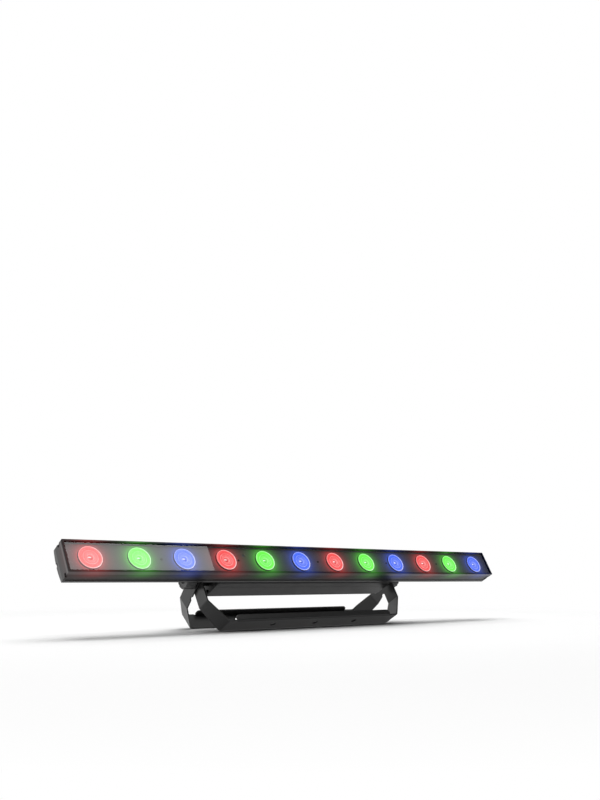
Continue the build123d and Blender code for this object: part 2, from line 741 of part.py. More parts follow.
def mains_outlet():
    """Mains outlet of the same size, with a slotted insert."""
    face = rear_plane(PANEL_SEAT + FLANGE)
    with BuildPart() as outlet:
        mains_body(OUTLET_X, (25.6, 17.6, 3.2))
        extrude(rounded(rear_plane(PANEL_SEAT - 19.0), (-OUTLET_X, 0), 22.0, 14.0, 2.6),
                amount=19.0 + FLANGE)
        extrude(boxes(face, mains_pin_places(OUTLET_X), 2.4, 4.6), amount=-16.0, mode=Mode.SUBTRACT)
    save(outlet, "mains_outlet")


def fuse_parts():
    """Panel fuse holder, its bayonet cap with a coin slot, and the fuse inside."""
    place = [(-FUSE_X, 0)]
    cap_seat = PANEL_SEAT + FLANGE + 0.15
    cap_height = 3.6
    with BuildPart() as holder:
        extrude(discs(rear_plane(PANEL_SEAT), place, 8.6), amount=FLANGE)
        extrude(discs(rear_plane(PANEL_SEAT), place, 6.4), amount=-26.0)
        extrude(discs(rear_plane(PANEL_SEAT + FLANGE), place, 4.1), amount=-26.0, mode=Mode.SUBTRACT)
    save(holder, "fuse_holder")
    with BuildPart() as cap:
        extrude(discs(rear_plane(cap_seat), place, 6.4), amount=cap_height)
        extrude(discs(rear_plane(cap_seat), place, 4.04), amount=-7.0)
        rim = cap.faces().sort_by(Axis(FACE_CENTRE, BACK))[-1]
        chamfer(rim.edges(), length=0.5)
        extrude(boxes(rear_plane(cap_seat + cap_height), place, 9.0, 1.6),
                amount=-1.6, mode=Mode.SUBTRACT)
    save(cap, "fuse_cap")
    with BuildPart() as fuse:
        extrude(discs(rear_plane(PANEL_SEAT - 5.4), place, 2.5), amount=-17.0)
    save(fuse, "fuse")


def data_flange(x):
    """Square flange of the data socket at x."""
    extrude(rounded(rear_plane(PANEL_SEAT), (-x, 0), 26.0, 31.0, 3.5), amount=FLANGE)
    extrude(discs(rear_plane(PANEL_SEAT + FLANGE), data_screw_places(x), 1.6),
            amount=-FLANGE, mode=Mode.SUBTRACT)


def data_contacts(plane, x, start_angle, radius):
    """Three round contacts in a ring round the middle of the data socket at x."""
    with BuildSketch(plane) as contacts:
        with Locations((-x, 0)):
            with PolarLocations(4.6, 3, start_angle=start_angle):
                Circle(radius)
    return contacts.sketch


def dmx_input():
    """Data inlet: a round shell with three pins inside."""
    place = [(-DMX_IN_X, 0)]
    hollow_depth = 18.0
    floor_depth = PANEL_SEAT + FLANGE - hollow_depth
    with BuildPart() as socket:
        data_flange(DMX_IN_X)
        extrude(discs(rear_plane(PANEL_SEAT), place, 11.0), amount=-20.0)
        extrude(discs(rear_plane(PANEL_SEAT + FLANGE), place, 9.6),
                amount=-hollow_depth, mode=Mode.SUBTRACT)
    save(socket, "dmx_input")
    with BuildPart() as pins:
        extrude(data_contacts(rear_plane(floor_depth), DMX_IN_X, 90, 1.2), amount=13.0)
    save(pins, "dmx_pins")


def dmx_output():
    """Data outlet: a drilled insert, and a latch tab above it."""
    face = rear_plane(PANEL_SEAT + FLANGE)
    place = (-DMX_OUT_X, 0)
    latch_place = [(-DMX_OUT_X, LATCH_HEIGHT)]
    latch_back = 5.0
    latch_proud = 2.2
    with BuildPart() as socket:
        data_flange(DMX_OUT_X)
        extrude(discs(rear_plane(PANEL_SEAT), [place], 10.1), amount=-20.0)
        with BuildSketch(face):
            with Locations(place):
                Circle(9.2)
                Circle(7.8, mode=Mode.SUBTRACT)
        extrude(amount=-16.0, mode=Mode.SUBTRACT)
        extrude(data_contacts(face, DMX_OUT_X, -90, 1.6), amount=-14.0, mode=Mode.SUBTRACT)
        extrude(boxes(face, latch_place, 6.2, 3.2), amount=-FLANGE, mode=Mode.SUBTRACT)
    save(socket, "dmx_output")
    with BuildPart() as tab:
        extrude(boxes(rear_plane(PANEL_SEAT - latch_back), latch_place, 6.04, 3.04),
                amount=latch_back + FLANGE + latch_proud)
        outer = tab.faces().sort_by(Axis(FACE_CENTRE, BACK))[-1]
        fillet(outer.edges(), radius=0.6)
    save(tab, "dmx_latch")


# ------------------------------------------------------------------ menu and electronics
def menu_places():
    """The four menu buttons, on the rear plane."""
    return [(-MENU_X + (i - 1.5) * BUTTON_PITCH, BUTTON_DROP) for i in range(4)]


def menu_panel():
    """Plate over the menu opening, with a display opening and four button holes."""
    thickness = 1.2
    face = rear_plane(PANEL_SEAT + thickness)
    with BuildPart() as panel:
        extrude(rounded(rear_plane(PANEL_SEAT), (-MENU_X, 0), 84.0, 34.0, 4.0), amount=thickness)
        extrude(rounded(face, (-MENU_X, DISPLAY_HEIGHT), 46.0, 14.0, 1.5),
                amount=-thickness, mode=Mode.SUBTRACT)
        extrude(discs(face, menu_places(), BUTTON_RADIUS + 0.08),
                amount=-thickness, mode=Mode.SUBTRACT)
    save(panel, "menu_panel")


def display():
    """Display block behind the menu panel and the clear window over it."""
    with BuildPart() as module:
        extrude(boxes(rear_plane(81.4), [(-MENU_X, 6.4)], 52.0, 13.6), amount=5.8)
    save(module, "display_module")
    with BuildPart() as pane:
        extrude(rounded(rear_plane(PANEL_SEAT), (-MENU_X, DISPLAY_HEIGHT), 45.8, 13.8, 1.4), amount=1.0)
    save(pane, "display_window")


def menu_button(name, place):
    """Round push button with a retaining collar behind the panel."""
    tail_depth = 81.3
    proud = 2.8
    with BuildPart() as button:
        extrude(discs(rear_plane(tail_depth), [place], BUTTON_RADIUS),
                amount=HOUSING_REAR + proud - tail_depth)
        top = button.faces().sort_by(Axis(FACE_CENTRE, BACK))[-1]
        fillet(top.edges(), radius=0.7)
        extrude(discs(rear_plane(HOUSING_REAR - 1.2), [place], BUTTON_RADIUS + 1.0), amount=1.1)
    save(button, name)


def control_board():
    """Board behind the menu, with a push switch under each button and the chips."""
    half_length = 45.0
    with BuildPart() as board:
        extrude(slab_face(MENU_X - half_length, CONTROL_DEPTH, CONTROL_DEPTH + BOARD_THICKNESS,
                          -17.0, 17.0), amount=2 * half_length)
    save(board, "control_board")
    face = rear_plane(CONTROL_DEPTH + BOARD_THICKNESS + 0.02)
    underside = front_plane(CONTROL_DEPTH - 0.02)
    with BuildPart() as parts:
        extrude(boxes(face, menu_places(), 6.0, 6.0), amount=3.2)
        extrude(discs(face, menu_places(), 1.7), amount=4.0)
        extrude(boxes(face, [(-MENU_X, DISPLAY_HEIGHT)], 40.0, 6.0), amount=4.6)
        extrude(boxes(underside, [(MENU_X - 18.0, 2.0), (MENU_X + 14.0, -4.0)], 12.0, 12.0), amount=2.2)
        extrude(boxes(underside, [(MENU_X + 32.0, 4.0)], 8.0, 18.0), amount=2.2)
    save(parts, "control_parts")


def power_supply():
    """Power supply board, its standoffs, and the parts that stand on it."""
    start_x, end_x = PSU_X
    standoff_start = 37.4
    standoff_places = [(-x, h) for x in (start_x + 7, end_x - 7) for h in (-15.0, 15.0)]
    with BuildPart() as standoffs:
        extrude(discs(rear_plane(standoff_start), standoff_places, 3.0),
                amount=PSU_DEPTH - 0.02 - standoff_start)
    save(standoffs, "psu_standoffs")
    with BuildPart() as board:
        extrude(slab_face(start_x, PSU_DEPTH, PSU_DEPTH + BOARD_THICKNESS, -18.4, 18.4),
                amount=end_x - start_x)
    save(board, "psu_board")
    face = rear_plane(PSU_DEPTH + BOARD_THICKNESS + 0.02)
    with BuildPart() as parts:
        # Transformer, heat sinks, capacitors and terminal blocks
        extrude(boxes(face, [(-96.0, 0.0)], 30.0, 26.0), amount=17.0)
        extrude(boxes(face, [(-62.0, 0.0), (-130.0, 0.0)], 5.0, 30.0), amount=14.0)
        extrude(discs(face, [(-148.0, 6.0), (-148.0, -9.0), (-48.0, 8.0)], 6.5), amount=15.0)
        extrude(boxes(face, [(-174.0, 0.0), (-36.0, -8.0)], 10.0, 18.0), amount=10.0)
    save(parts, "psu_parts")


def wire(points, radius):
    """A round wire along a smooth line through points given as (x, depth, height)."""
    with BuildLine() as path:
        Spline(*[head_point(*point) for point in points])
    start = path.line @ 0
    with BuildSketch(Plane(origin=start, z_dir=path.line % 0)) as end:
        Circle(radius)
    return sweep(end.sketch, path=path.line, mode=Mode.PRIVATE)


def wiring_harness():
    """Mains, supply and data wires inside the housing."""
    runs = (
        ((167.0, 66.2, -3.0), (172.0, 63.0, -5.0), (174.0, 57.2, -3.0)),
        ((161.0, 66.2, 5.0), (168.0, 63.0, 6.0), (174.0, 57.2, 4.0)),
        ((112.0, 66.2, 10.0), (84.0, 67.6, 14.0), (62.0, 61.8, 8.0)),
        ((29.0, 54.0, -4.0), (14.0, 52.0, 4.0), (0.0, 41.0, 12.0)),
        ((2.0, 72.0, 10.0), (10.0, 62.0, 2.0), (29.0, 54.0, -10.0)),
        ((DMX_IN_X, 67.0, 4.0), (-100.0, 61.0, 6.0), (-76.0, 68.0, 4.0)),
        ((DMX_OUT_X, 67.0, 2.0), (-130.0, 56.0, -6.0), (-86.0, 58.0, -4.0), (-70.0, 71.0, -4.0)),
    )
    with BuildPart() as harness:
        for run in runs:
            add(wire(run, 1.1))
    save(harness, "wiring_harness")


# ------------------------------------------------------------------ safety eye
def safety_eye():
    """Bent steel lug on top of the housing, with a hole for a safety bond."""
    width = 32.0
    foot_width = 18.0
    hole_height = HOUSING_HALF_HEIGHT + 14.0
    foot = Plane(origin=head_point(0, SAFETY_EYE_DEPTH, HOUSING_HALF_HEIGHT + 0.02),
                 x_dir=ACROSS, z_dir=UP)
    lug = front_plane(SAFETY_EYE_DEPTH - foot_width / 2)
    upright = Axis(FACE_CENTRE, UP)
    with BuildPart() as eye:
        with BuildSketch(foot):
            Rectangle(width, foot_width)
        extrude(amount=EYE_THICKNESS)
        extrude(boxes(lug, [(0, HOUSING_HALF_HEIGHT + 13.02)], width, 26.0), amount=-EYE_THICKNESS)
        top_corners = eye.edges().filter_by(Axis(FACE_CENTRE, BACK)).sort_by(upright)[-2:]
        fillet(top_corners, radius=11.0)
        extrude(discs(lug, [(0, hole_height)], 6.5), amount=-EYE_THICKNESS, mode=Mode.SUBTRACT)
        extrude(discs(foot, EYE_SCREW_PLACES, 1.8), amount=EYE_THICKNESS, mode=Mode.SUBTRACT)
    save(eye, "safety_eye")
    screws("safety_eye_screws", seats_on(foot.offset(EYE_THICKNESS), EYE_SCREW_PLACES), EYE_SCREW)


# ------------------------------------------------------------------ build
bar_extrusion()
end_cap("end_cap_left", -1)
end_cap("end_cap_right", 1)
end_cap_screws()
window()
window_seals()
lens_plate()
screws("plate_screws", seats_on(front_plane(PLATE_DEPTH - 0.02), plate_screw_places), PLATE_SCREW)
plate_standoffs()
lenses("lenses_red", lens_places[0::3])
lenses("lenses_green", lens_places[1::3])
lenses("lenses_blue", lens_places[2::3])
lens_holders()
led_boards()
led_emitters()
screws("board_screws", seats_on(front_plane(BOARD_DEPTH - 0.02), board_screw_places), BOARD_SCREW)
ir_receiver()
cable_grommet()

rear_housing()
housing_end("housing_end_left", -1)
housing_end("housing_end_right", 1)
screws("housing_screws",
       side_seats(housing_outer_x + 0.02, -1, housing_screw_places)
       + side_seats(housing_outer_x + 0.02, 1, housing_screw_places), HOUSING_SCREW)
screws("foot_screws",
       seats_on(rear_plane(back_depth + FOOT_GAP + FOOT_THICKNESS + 0.02), foot_screw_places), FOOT_SCREW)
pivot_spacers()
pivot_nuts()
for side_name, side in (("left", -1), ("right", 1)):
    knob(f"knob_{side_name}", side)
    knob_stud(f"knob_stud_{side_name}", side)
washers("knob_washers", REAR_EAR_X + 0.1, WASHER_THICKNESS, 12.0)
washers("friction_washers", FRONT_EAR_X + 0.05, REAR_EAR_X - SHEET - FRONT_EAR_X - 0.1, 15.0)

bracket("front_bracket", 1, FRONT_SPLAY, FRONT_EAR_X, FRONT_CREASE, FRONT_BASE_X, FRONT_WIDENING, False)
bracket("rear_bracket", -1, REAR_SPLAY, REAR_EAR_X, REAR_CREASE, REAR_BASE_X, REAR_WIDENING, True)

mains_inlet()
mains_outlet()
fuse_parts()
dmx_input()
dmx_output()
screws("connector_screws",
       seats_on(rear_plane(PANEL_SEAT + FLANGE + 0.02), connector_screw_places()), CONNECTOR_SCREW)
menu_panel()
display()
for number, place in enumerate(menu_places(), start=1):
    menu_button(f"menu_button_{number}", place)
control_board()
power_supply()
wiring_harness()
safety_eye()
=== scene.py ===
import json
from math import cos, pi, radians, sin

import bmesh
import bpy
from mathutils import Matrix, Vector


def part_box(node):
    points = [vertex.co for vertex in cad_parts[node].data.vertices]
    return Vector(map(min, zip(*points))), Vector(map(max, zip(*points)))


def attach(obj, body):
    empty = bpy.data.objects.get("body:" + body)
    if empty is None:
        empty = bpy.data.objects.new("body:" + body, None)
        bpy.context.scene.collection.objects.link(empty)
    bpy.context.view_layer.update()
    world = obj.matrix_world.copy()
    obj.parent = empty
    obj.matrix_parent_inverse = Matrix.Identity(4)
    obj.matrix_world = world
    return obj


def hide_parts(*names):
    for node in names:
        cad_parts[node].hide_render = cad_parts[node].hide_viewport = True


# An LED strip batten on a double floor bracket, in metres, in the row frame.
# The head is the tilted bar with its housing: its own axes are across (along the bar), back
# (against the beams) and up (up the beam face), from the middle of the beam face.

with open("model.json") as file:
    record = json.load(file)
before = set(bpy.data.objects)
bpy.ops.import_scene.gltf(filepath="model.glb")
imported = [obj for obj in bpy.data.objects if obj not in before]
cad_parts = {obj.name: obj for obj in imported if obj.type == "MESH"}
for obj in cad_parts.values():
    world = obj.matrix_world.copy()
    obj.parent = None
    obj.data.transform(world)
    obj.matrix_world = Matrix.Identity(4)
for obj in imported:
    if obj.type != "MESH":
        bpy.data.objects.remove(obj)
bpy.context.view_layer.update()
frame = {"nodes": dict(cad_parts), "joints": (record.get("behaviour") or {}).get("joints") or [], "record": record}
nodes = frame["nodes"]
record = frame["record"]
joints = {joint["name"]: joint for joint in frame["joints"]}
mounts = {mount["name"]: mount for mount in record["mounts"]}
MM = 0.001

# ------------------------------------------------------------------ the head's own axes
ACROSS = Vector((1, 0, 0))
BACK = Vector(mounts["safety_eye_hole"]["axis"]).normalized()
UP = ACROSS.cross(BACK)
PIVOT = Vector(joints["head_tilt"]["pos_m"])


def link(thing):
    """Put an object in the scene."""
    bpy.context.scene.collection.objects.link(thing)
    return thing


def extent(node, axis):
    """Lowest and highest reach of a CAD node along an axis through the row's origin."""
    reach = [vertex.co.dot(axis) for vertex in nodes[node].data.vertices]
    return min(reach), max(reach)


face_near, face_far = extent("bar_extrusion", BACK)
face_low, face_high = extent("bar_extrusion", UP)
FACE_CENTRE = BACK * face_near + UP * (face_low + face_high) / 2
HALF_FACE = (face_high - face_low) / 2
BAR_DEPTH = face_far - face_near

# depths behind the bar's front, along the back axis
LIP_FRONT = 0.5 * MM            # the lips' front faces end here
BAND_START = 9 * MM             # the sunk band along the bar's long sides
BAND_END = 28 * MM
LINE_PLACES = (BAR_DEPTH + 5 * MM, BAR_DEPTH + 17 * MM)     # fine lines drawn along the housing

seal_low, seal_high = extent("window_seals", UP)
PLATE_EDGE = (seal_high - seal_low) / 2 - 1 * MM

LENS_COLOURS = {
    "red": (1.0, 0.05, 0.05),
    "green": (0.125, 1.0, 0.038),
    "blue": (0.028, 0.125, 1.0),
}
COLOUR_COUNT = len(LENS_COLOURS)
LENS_COUNT = 12
LENS_STRENGTH = 1.2
lens_low, lens_high = extent("lenses_red", UP)
LENS_RADIUS = (lens_high - lens_low) / 2
LENS_FRONT = extent("lenses_red", BACK)[0] - face_near
red_left, red_right = extent("lenses_red", ACROSS)
LENS_PITCH = (red_right - red_left - 2 * LENS_RADIUS) / (LENS_COUNT - COLOUR_COUNT)
FIRST_LENS = (LENS_COUNT - 1) / 2       # pitches from the first lens to the bar's middle

GLOW_LENGTH = 8 * MM            # how far the lenses' spill falls off
GLOW_RIM_LENGTH = 1.6 * MM      # the same for the stronger part at a lens's own edge
GLOW_STRENGTH = 0.42

# an empty that gives the materials the head's own axes, at every pose
HEAD = Matrix.Translation(FACE_CENTRE) @ Matrix((ACROSS, BACK, UP)).transposed().to_4x4()
head_frame = link(bpy.data.objects.new("head_frame", None))
head_frame.matrix_world = HEAD
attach(head_frame, "head")


# ------------------------------------------------------------------ node helpers
class Shader:
    """The node tree of a material or a world, with short calls for the nodes that they share."""

    def __init__(self, owner, output="OutputMaterial"):
        self.owner = owner
        owner.use_nodes = True
        self.tree = owner.node_tree
        self.tree.nodes.clear()
        self.output = self.node(output)

    def node(self, kind, inputs=None, **settings):
        """Add a node with its inputs, by name or number, and its settings."""
        made = self.tree.nodes.new("ShaderNode" + kind)
        for key, value in settings.items():
            setattr(made, key, value)
        for key, value in (inputs or {}).items():
            self.put(value, made.inputs[key])
        return made

    def put(self, value, socket):
        """Link a node output to a socket, or set the socket's own value."""
        if isinstance(value, bpy.types.NodeSocket):
            self.tree.links.new(value, socket)
        else:
            socket.default_value = value

    def math(self, operation, first, second=0.0, third=0.0, clamp=False):
        return self.node("Math", {0: first, 1: second, 2: third}, operation=operation,
                         use_clamp=clamp).outputs[0]

    def times(self, first, second, clamp=False):
        return self.math("MULTIPLY", first, second, clamp=clamp)

    def inside(self, value, low, high):
        """1 where a value is between two others, else 0."""
        return self.times(self.math("GREATER_THAN", value, low),
                          self.math("LESS_THAN", value, high))

    def length(self, first, second):
        """Length of a vector with two parts."""
        return self.math("SQRT", self.math("ADD", self.math("POWER", first, 2.0),
                                           self.math("POWER", second, 2.0)))

    def ramp(self, factor, stops):
        """A colour ramp with stops given as (position, colour)."""
        made = self.node("ValToRGB", {"Fac": factor})
        elements = made.color_ramp.elements
        while len(elements) < len(stops):
            elements.new(0.5)
        for element, (position, colour) in zip(elements, stops):
            element.position = position
            element.color = colour if len(colour) == 4 else (*colour, 1.0)
        return made.outputs["Color"]

    def steps(self, factor, stops):
        """The same without a blend between the stops."""
        colour = self.ramp(factor, stops)
        colour.node.color_ramp.interpolation = "CONSTANT"
        return colour

    def grey_ramp(self, factor, stops):
        """A ramp with stops given as (position, brightness)."""
        return self.ramp(factor, [(position, grey(value)) for position, value in stops])

    def even(self, value):
        """A grey of a value."""
        return self.node("CombineColor", {0: value, 1: value, 2: value}).outputs[0]

    def mix(self, factor, first, second, blend="MIX"):
        made = self.node("Mix", data_type="RGBA", blend_type=blend)
        for value, index in ((factor, 0), (first, 6), (second, 7)):
            if isinstance(value, tuple) and len(value) == 3:
                value = (*value, 1.0)
            self.put(value, made.inputs[index])
        return made.outputs[2]

    def place(self):
        """Object coordinates, which stay on the piece when its body moves."""
        return self.node("TexCoord").outputs["Object"]

    def head_place(self):
        """Coordinates in the head's own axes: across, back and up."""
        return self.node("TexCoord", object=head_frame).outputs["Object"]

    def head_parts(self):
        """The same coordinates as three values."""
        return self.node("SeparateXYZ", {0: self.head_place()}).outputs

    def noise(self, scale, detail=3.0, roughness=0.55):
        return self.node("TexNoise", {"Scale": scale, "Detail": detail, "Roughness": roughness,
                                      "Vector": self.place()}).outputs["Fac"]

    def span(self, value, low, high, new_low=0.0, new_high=1.0):
        """Map a value from one range to another, without leaving it."""
        return self.node("MapRange", {"Value": value, "From Min": low, "From Max": high,
                                      "To Min": new_low, "To Max": new_high}).outputs["Result"]

    def bump(self, height, distance, strength=1.0, normal=None):
        inputs = {"Height": height, "Distance": distance, "Strength": strength}
        if normal is not None:
            inputs["Normal"] = normal
        return self.node("Bump", inputs).outputs["Normal"]

    def rounded(self, radius):
        """Normals that soften sharp edges over a radius."""
        return self.node("Bevel", {"Radius": radius}, samples=4).outputs["Normal"]

    def edge_wear_and_sheen(self, radius):
        """1 on edges and corners, 0 on flat faces."""
        flat = self.node("NewGeometry").outputs["Normal"]
        likeness = self.node("VectorMath", {0: self.rounded(radius), 1: flat},
                             operation="DOT_PRODUCT").outputs["Value"]
        return self.span(likeness, 0.99, 0.88)

    def painted_shade_factor(self, reach, lowest):
        """1 in the open, falling to a lowest value in the piece's own corners and narrow gaps: the factor for
        painted shade.
        """
        seen = self.node("AmbientOcclusion", {"Distance": reach}, samples=6,
                         only_local=True).outputs["AO"]
        return self.span(seen, 0.25, 0.95, lowest, 1.0)

    def finish(self, shader):
        """Send a shader to the output, and give back the material or world."""
        self.put(shader.outputs[0], self.output.inputs["Surface"])
        return self.owner

    def surface(self, **inputs):
        """Finish with a principled shader."""
        return self.finish(self.node("BsdfPrincipled", {key.replace("_", " "): value
                                                        for key, value in inputs.items()}))

    def blend(self, factor, first, second):
        """Finish with a mix of two shaders."""
        return self.finish(self.node("MixShader", {0: factor, 1: first.outputs[0],
                                                   2: second.outputs[0]}))


def material(name):
    """An empty node tree in a new material."""
    return Shader(bpy.data.materials.new(name))


def grey(value):
    return (value, value, value, 1.0)


def shade(colour, factor):
    return tuple(part * factor for part in colour)


WHITE = grey(1.0)
# painted shade: the colour given to paint that little light reaches, in corners, gaps and along plate edges
PAINTED_SHADE = grey(0.002)        # paint that little light reaches
COAT_GLOSS = 0.46


def lip_wall(s, back, up):
    """1 on the inner walls of the bar's lips, between the front and the lens plate."""
    between = s.inside(back, 0.4 * MM, LENS_FRONT - 0.6 * MM)
    return s.times(between, s.math("LESS_THAN", s.math("ABSOLUTE", up), HALF_FACE - 1 * MM))


def spill(s):
    """Coloured light that the lit lenses throw on what is close to them, painted into the emission of the bar's
    coat and the lens plate.
    """
    across, back, up = s.head_parts()
    index = s.math("MULTIPLY_ADD", across, 1 / LENS_PITCH, FIRST_LENS)
    left = s.math("FLOOR", index)
    behind = s.times(s.math("SUBTRACT", back, LENS_FRONT), 1.5)
    beside = s.length(up, behind)
    # none on the top side, little on the lips' inner walls
    top_side = s.times(s.math("GREATER_THAN", up, HALF_FACE - 2.5 * MM),
                       s.math("GREATER_THAN", back, 1 * MM))
    lit_side = s.math("SUBTRACT", s.math("SUBTRACT", 1.0, top_side),
                      s.times(lip_wall(s, back, up), 0.85), clamp=True)
    # and none on the rear
    lit_side = s.times(lit_side, s.span(back, 16 * MM, 32 * MM, 1.0, 0.0))
    lights = []
    for step in (0.0, 1.0):         # the nearest lens on either side
        lens = s.math("ADD", left, step)
        away = s.times(s.math("SUBTRACT", index, lens), LENS_PITCH)
        beyond = s.math("MAXIMUM", s.math("SUBTRACT", s.length(beside, away), LENS_RADIUS), 0.0)
        wide = s.math("EXPONENT", s.times(beyond, -1 / GLOW_LENGTH))
        rim = s.math("EXPONENT", s.times(beyond, -1 / GLOW_RIM_LENGTH))
        fall = s.math("ADD", wide, s.times(rim, 0.5))
        fall = s.times(s.times(fall, s.inside(lens, -0.5, LENS_COUNT - 0.5)), lit_side)
        kind = s.math("FLOORED_MODULO", lens, float(COLOUR_COUNT))
        colour = s.steps(s.math("DIVIDE", kind, float(COLOUR_COUNT)),
                         list(zip((0.0, 0.2, 0.55), LENS_COLOURS.values())))
        light = s.node("VectorMath", {0: colour, "Scale": fall}, operation="SCALE")
        lights.append(light.outputs[0])
    return s.node("VectorMath", {0: lights[0], 1: lights[1]}, operation="ADD").outputs[0]


# ------------------------------------------------------------------ materials
def bar_gloss(s, back):
    """How the coat's gloss differs from front to back: duller on the lips and in the sunk band."""
    rear = s.math("GREATER_THAN", back, BAR_DEPTH + 0.5 * MM)
    zones = (
        (s.math("LESS_THAN", back, LIP_FRONT), -0.55),
        (s.inside(back, LIP_FRONT, BAND_START), 0.6),
        (s.inside(back, BAND_START, BAND_END), -0.4),
        (s.times(s.math("GREATER_THAN", back, BAND_END), s.math("SUBTRACT", 1.0, rear)), 0.45),
        (rear, -0.2),
    )
    level = 1.0
    for zone, change in zones:
        level = s.math("ADD", level, s.times(zone, change))
    return level


def housing_lines(s, back):
    """Height of the fine drawn lines that run the length of the housing."""
    height = 1.0
    for place in LINE_PLACES:
        away = s.math("ABSOLUTE", s.math("SUBTRACT", back, place))
        height = s.times(height, s.span(away, 0.2 * MM, 0.8 * MM))
    return height


def powder_coat(name, level, bar=False):
    """Fine black powder coat: a soft orange-peel grain, edges lightened by wear and by a painted sheen,
    painted shade in its own corners and narrow gaps, and faint handling marks.
    The bar's coat also has its bands, its lines, painted shade on the lips' inner walls and the lenses' spill."""
    s = material(name)
    marks = s.noise(22.0, 4.0, 0.6)
    # edge wear and painted sheen: the edges are lightened in patches
    rubbed_and_sheen = s.times(s.edge_wear_and_sheen(0.4 * MM), s.span(s.noise(180.0), 0.42, 0.68))
    tint = s.span(marks, 0.3, 0.75, 0.85, 1.2)
    base = s.mix(1.0, grey(level), s.even(tint), "MULTIPLY")
    base = s.mix(s.times(rubbed_and_sheen, 0.3), base, (level * 5, level * 5, level * 5.1))
    # painted shade: the coat is made darker and less glossy in its own corners and narrow gaps
    clear = s.painted_shade_factor(12 * MM, 0.1)
    gloss = clear
    if bar:
        across, back, up = s.head_parts()
        # painted shade: the lips' inner walls are made darker and less glossy
        clear = s.times(clear, s.math("SUBTRACT", 1.0, s.times(lip_wall(s, back, up), 0.9)))
        gloss = s.times(clear, bar_gloss(s, back))
    base = s.mix(clear, PAINTED_SHADE, base)
    grain = s.math("ADD", s.noise(1500.0, 2.0), s.times(s.noise(420.0, 2.0), 0.6))
    normal = s.bump(grain, 0.045 * MM, 0.5, s.rounded(0.45 * MM))
    look = {}
    if bar:
        normal = s.bump(housing_lines(s, back), 0.35 * MM, 1.0, normal)
        look = {"Emission_Color": spill(s), "Emission_Strength": GLOW_STRENGTH}
    rough = s.math("ADD", s.span(marks, 0.3, 0.75, 0.30, 0.38), s.times(rubbed_and_sheen, -0.08))
    return s.surface(Base_Color=base, Roughness=rough, IOR=1.5, Normal=normal,
                     Specular_IOR_Level=s.times(gloss, COAT_GLOSS), **look)


def black_plate(name):
    """Satin black lens plate, with painted shade along its long edges."""
    s = material(name)
    cloud = s.noise(60.0)
    up = s.head_parts()[2]
    # painted shade along the plate's long edges
    edge_shade = s.span(s.math("ABSOLUTE", up), PLATE_EDGE - 4 * MM, PLATE_EDGE - 0.5 * MM)
    base = s.mix(edge_shade, s.mix(cloud, grey(0.024), grey(0.032)), PAINTED_SHADE)
    return s.surface(Base_Color=base, Roughness=s.span(cloud, 0.3, 0.7, 0.42, 0.52),
                     Normal=s.bump(s.noise(2200.0, 2.0), 0.02 * MM, 0.4),
                     Emission_Color=spill(s), Emission_Strength=GLOW_STRENGTH)


def clear_sheet(name, tint, shine, index, haze_scale, haze_low, haze_high):
    """Thin clear sheet: it reflects by its angle, with a trace of haze, and lets the rest
    through."""
    s = material(name)
    haze = s.span(s.noise(haze_scale, 4.0), 0.35, 0.75, haze_low, haze_high)
    gloss = s.node("BsdfGlossy", {"Color": shine, "Roughness": haze})
    through = s.node("BsdfTransparent", {"Color": (*tint, 1.0)})
    reflect = s.times(s.node("Fresnel", {"IOR": index}).outputs[0], 1.8)    # both of its faces
    outside = s.math("SUBTRACT", 1.0, s.node("NewGeometry").outputs["Backfacing"])
    return s.blend(s.times(reflect, outside, clamp=True), through, gloss)


def lit_lens(name, colour):
    """Clear moulded lens, lit from behind: brighter at its rim and rings, with painted light on their
    low right side and a painted highlight by its centre.
    """
    s = material(name)
    across, back, up = s.head_parts()
    index = s.math("MULTIPLY_ADD", across, 1 / LENS_PITCH, FIRST_LENS)
    away = s.times(s.math("SUBTRACT", index, s.math("ROUND", index)), LENS_PITCH)
    radius = s.math("DIVIDE", s.length(away, up), LENS_RADIUS)
    white = s.grey_ramp(radius, (
        (0.00, 0.03), (0.13, 0.02), (0.20, 0.005), (0.24, 0.01), (0.275, 0.34), (0.32, 0.06),
        (0.44, 0.12), (0.56, 0.03), (0.61, 0.28), (0.66, 0.03), (0.80, 0.03), (0.91, 0.07),
        (0.95, 0.50), (1.00, 0.15)
    ))
    # painted light: the low right side of each ring is made brighter, as if it caught more light
    lean = s.math("DIVIDE", s.math("SUBTRACT", s.times(away, 0.7), s.times(up, 0.7)), LENS_RADIUS)
    white = s.times(white, s.span(lean, -0.9, 0.9, 0.5, 1.3))
    facets = s.span(s.noise(260.0, 2.0, 0.5), 0.3, 0.7, 0.75, 1.3)
    white = s.times(white, facets, clamp=True)
    # a painted highlight: a bright streak beside the middle of the well, stronger towards the bar's right end
    along = s.math("DIVIDE", s.math("ADD", away, 0.03 * LENS_RADIUS), 0.17 * LENS_RADIUS)
    aside = s.math("DIVIDE", s.math("SUBTRACT", up, 0.06 * LENS_RADIUS), 0.085 * LENS_RADIUS)
    streak = s.span(s.length(along, aside), 0.5, 1.3, 1.0, 0.0)
    white = s.math("MAXIMUM", white, s.times(streak, s.span(across, -0.2, 0.3, 0.6, 0.95)))
    deep = s.grey_ramp(radius, (
        (0.00, 0.60), (0.24, 0.62), (0.27, 1.0), (0.33, 0.95), (0.56, 0.78), (0.61, 1.0),
        (0.66, 0.84), (0.90, 0.95), (0.955, 1.0), (1.00, 0.75)
    ))
    glow = s.mix(white, s.mix(1.0, colour, deep, "MULTIPLY"), WHITE)
    return s.surface(Base_Color=grey(0.02), Roughness=0.12, IOR=1.49, Emission_Color=glow,
                     Emission_Strength=LENS_STRENGTH)


